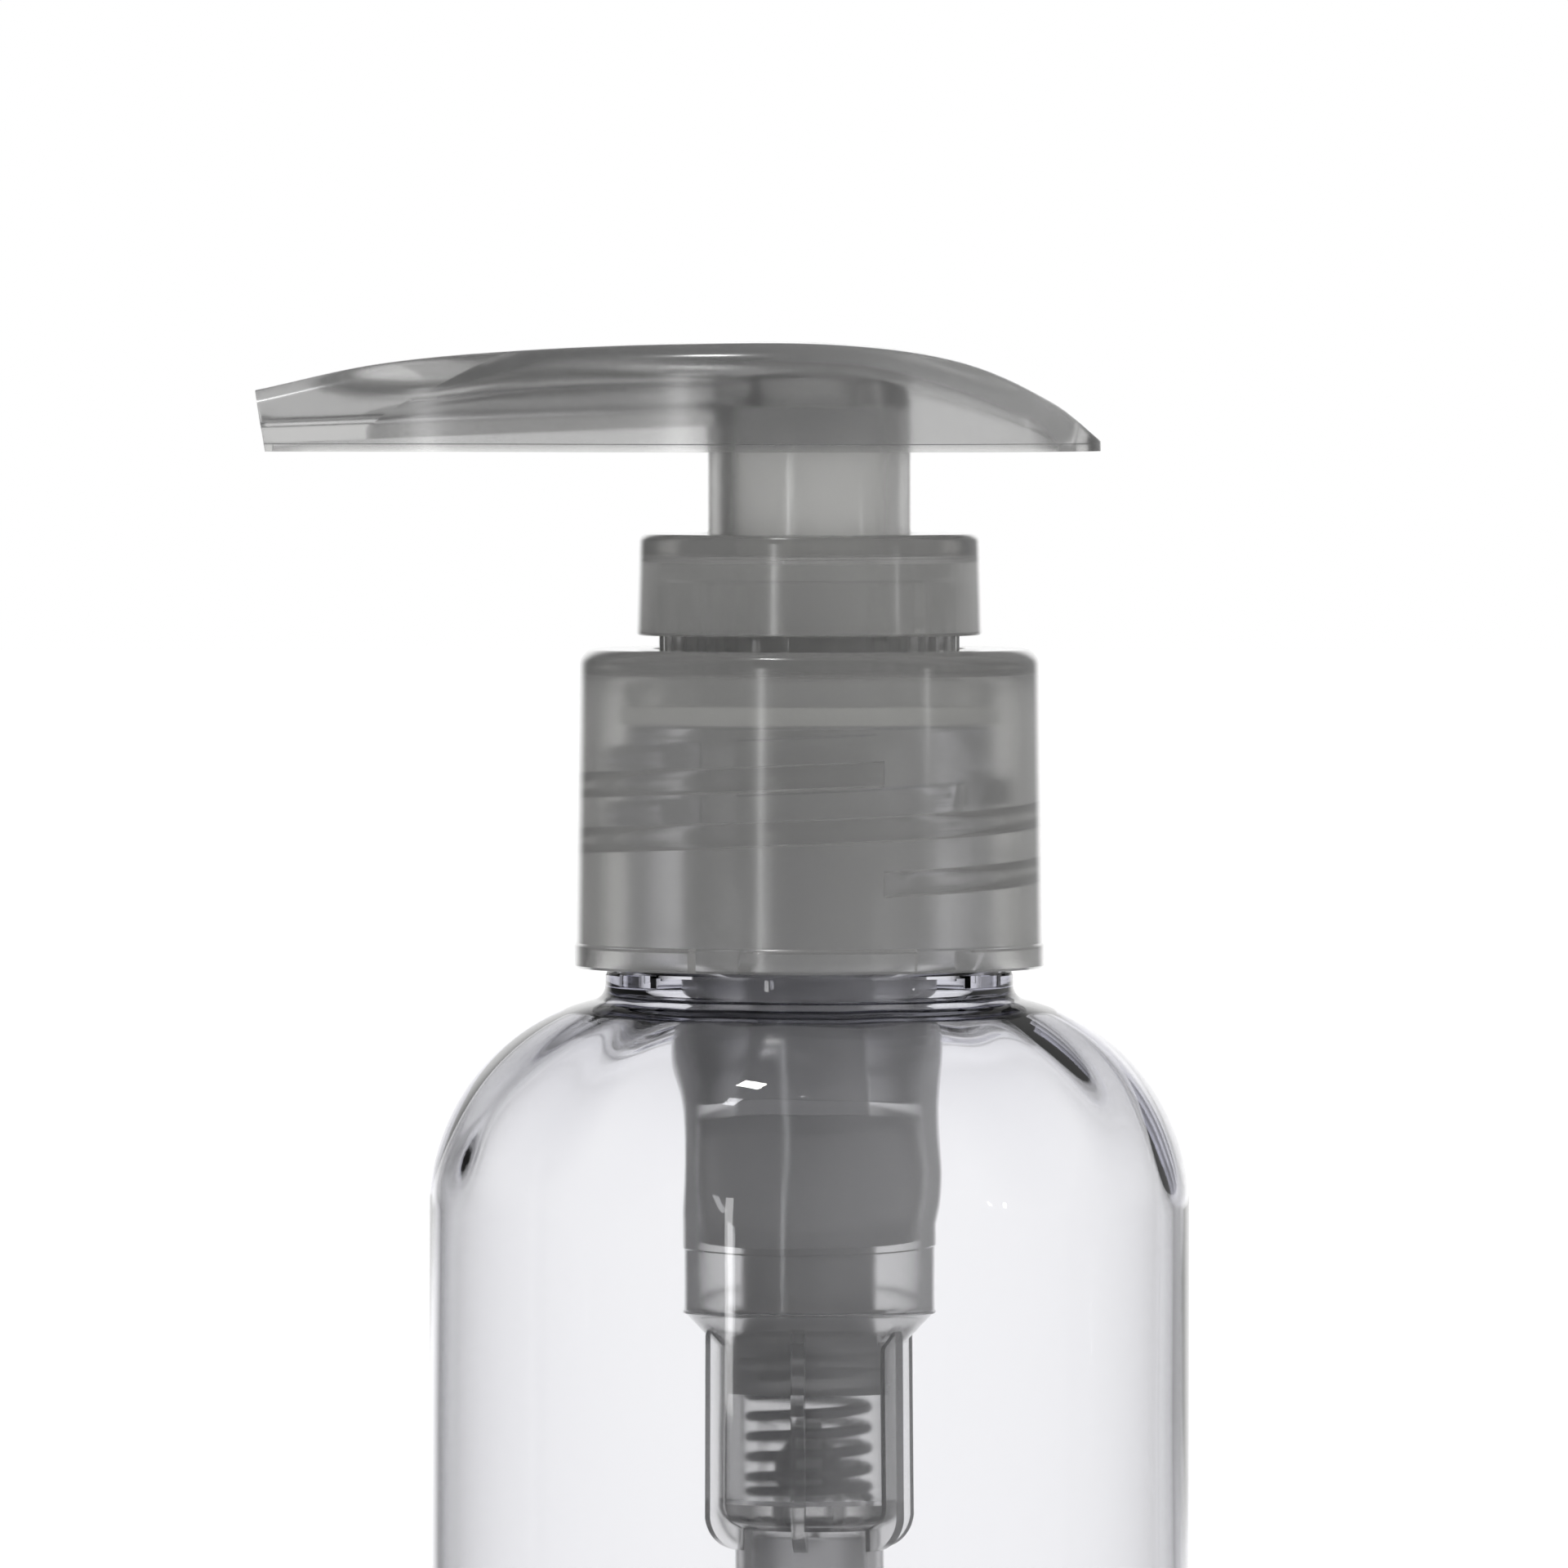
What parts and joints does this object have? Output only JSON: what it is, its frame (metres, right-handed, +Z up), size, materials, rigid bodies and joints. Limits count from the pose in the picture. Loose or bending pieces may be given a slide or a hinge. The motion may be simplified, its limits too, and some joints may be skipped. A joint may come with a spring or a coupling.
{
  "type": "soap pump dispenser",
  "caption": "Clear round bottle with a screw-on lotion pump: a saddle head with a side spout presses a sprung piston in a translucent cylinder.",
  "frame": {"origin": "on the bottle's axis, in the plane that the bottle stands on", "axes": "+Z up along the bottle's axis, -X along the spout, +Y to the object's right when it is seen from behind the spout, looking along -X"},
  "size_m": [0.054, 0.044, 0.132],
  "materials": {
    "bottle_clear": "clear glossy polyester",
    "milky_shell": "natural translucent polypropylene, satin",
    "cylinder_plastic": "natural translucent polypropylene, satin",
    "plunger_plastic": "natural polyethylene, satin",
    "tube_plastic": "natural polyethylene tube",
    "gasket_foam": "closed-cell foam",
    "spring_steel": "drawn stainless wire",
    "ball_steel": "polished stainless steel"
  },
  "bodies": {
    "bottle": {"bottle": "bottle_clear"},
    "pump_body": {"housing": "cylinder_plastic", "housing_gasket": "gasket_foam", "lock_collar": "milky_shell", "stem_guide": "cylinder_plastic", "dip_tube": "tube_plastic", "return_spring": "spring_steel"},
    "closure": {"closure": "milky_shell"},
    "plunger": {"piston_foot": "plunger_plastic"},
    "piston": {"piston": "plunger_plastic"},
    "head": {"actuator_head": "milky_shell", "stem": "plunger_plastic"},
    "inlet_ball": {"inlet_ball": "ball_steel"}
  },
  "joints": [
    {"name": "pump_lift", "type": "slide", "parent": "bottle", "child": "pump_body", "axis": [0, 0, 1], "range_m": [0, 0.0048]},
    {"name": "closure_turn", "type": "hinge", "parent": "pump_body", "child": "closure", "pos_m": [0, 0, 0.1], "axis": [0, 0, 1], "range_deg": [0, 540]},
    {"name": "head_press", "type": "slide", "parent": "pump_body", "child": "plunger", "axis": [0, 0, 1], "range_m": [-0.0041, 0], "stiffness_N_per_m": 600, "springref_m": 0.006, "deforming": ["return_spring"]},
    {"name": "head_swivel", "type": "hinge", "parent": "plunger", "child": "head", "pos_m": [0, 0, 0.12], "axis": [0, 0, 1], "continuous": true},
    {"name": "piston_valve", "type": "slide", "parent": "plunger", "child": "piston", "axis": [0, 0, 1], "range_m": [0, 0.0008]},
    {"name": "inlet_valve", "type": "slide", "parent": "pump_body", "child": "inlet_ball", "axis": [0, 0, 1], "range_m": [0, 0.0012]}
  ],
  "couplings": [
    {"joint": "pump_lift", "follows": "closure_turn", "m_per_rad": 0.00050532}
  ]
}
